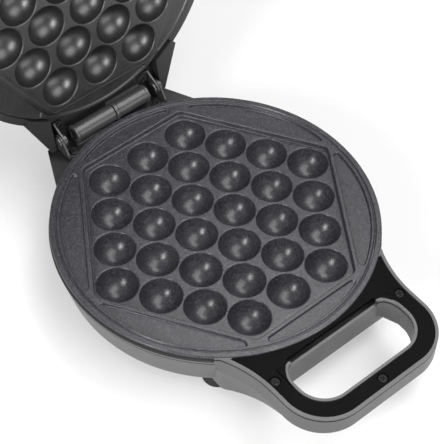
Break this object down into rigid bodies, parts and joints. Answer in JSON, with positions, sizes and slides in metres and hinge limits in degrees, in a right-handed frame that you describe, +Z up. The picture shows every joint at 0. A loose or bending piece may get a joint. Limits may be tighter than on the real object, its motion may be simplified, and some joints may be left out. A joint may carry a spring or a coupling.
{
  "type": "bubble waffle maker",
  "caption": "Round clamshell griddle with half-ball mould plates in hexagonal trays, a D handle on base and lid, and a rear hinge with coaxial wire tubes; shown open",
  "frame": {"origin": "on the table, under the middle of the bounding box of the open maker; the mould's own centre lies 17.35 mm in front of it", "axes": "+Z up, -Y towards the handle's end, +Y towards the hinge, +X to the right of someone who holds the handle and faces the hinge"},
  "size_m": [0.1912, 0.3237, 0.2884],
  "materials": {
    "shell_plastic": "satin moulded plastic with a faint metallic fleck",
    "ring_plastic": "plain black heat-resistant moulding",
    "cover_plastic": "fine-grained black",
    "black_screws": "black oxide",
    "plate_coating": "dark grey non-stick coating with fine specks on cast aluminium",
    "zinc_screws": "zinc plated",
    "heater_tube": "heat-tinted sheathed tube",
    "pan_sheet": "mill-finish sheet",
    "thermostat_metal": "plain",
    "fuse_sleeve": "white glass-fibre sleeve",
    "terminal_plastic": "plain white moulding",
    "foot_rubber": "matte",
    "bush_plastic": "matte",
    "bracket_metal": "dark satin paint on sheet steel",
    "pin_metal": "dark steel",
    "tube_plastic": "satin moulded plastic",
    "sleeve_plastic": "smooth",
    "red_lens": "clear red moulding",
    "green_lens": "clear green moulding",
    "lamp_glass": "clear"
  },
  "bodies": {
    "base": {"base_housing": "shell_plastic", "base_ring": "ring_plastic", "base_handle_cover": "cover_plastic", "base_cover_screws": "black_screws", "lower_plate": "plate_coating", "lower_plate_screws": "zinc_screws", "lower_heating_element": "heater_tube", "lower_reflector": "pan_sheet", "thermostat": "thermostat_metal", "thermal_fuse": "fuse_sleeve", "terminal_block": "terminal_plastic", "feet": "foot_rubber", "foot_screws": "zinc_screws", "cord_bush": "bush_plastic", "base_bracket_left": "bracket_metal", "base_bracket_right": "bracket_metal", "base_bracket_screws": "black_screws", "hinge_pins": "pin_metal", "base_wire_tube": "tube_plastic", "wire_sleeve": "sleeve_plastic"},
    "lid": {"lid_housing": "shell_plastic", "lid_ring": "ring_plastic", "lid_handle_cover": "cover_plastic", "lid_cover_screws": "black_screws", "upper_plate": "plate_coating", "upper_plate_screws": "zinc_screws", "upper_heating_element": "heater_tube", "upper_reflector": "pan_sheet", "lid_bracket_left": "bracket_metal", "lid_bracket_right": "bracket_metal", "lid_bracket_screws": "black_screws", "lid_wire_tube": "tube_plastic", "power_lens": "red_lens", "ready_lens": "green_lens", "indicator_lamps": "lamp_glass"}
  },
  "joints": [
    {"name": "lid_hinge", "type": "hinge", "parent": "base", "child": "lid", "pos_m": [0, 0.08265, 0.0501], "axis": [1, 0, 0], "range_deg": [0, 103.6]}
  ]
}
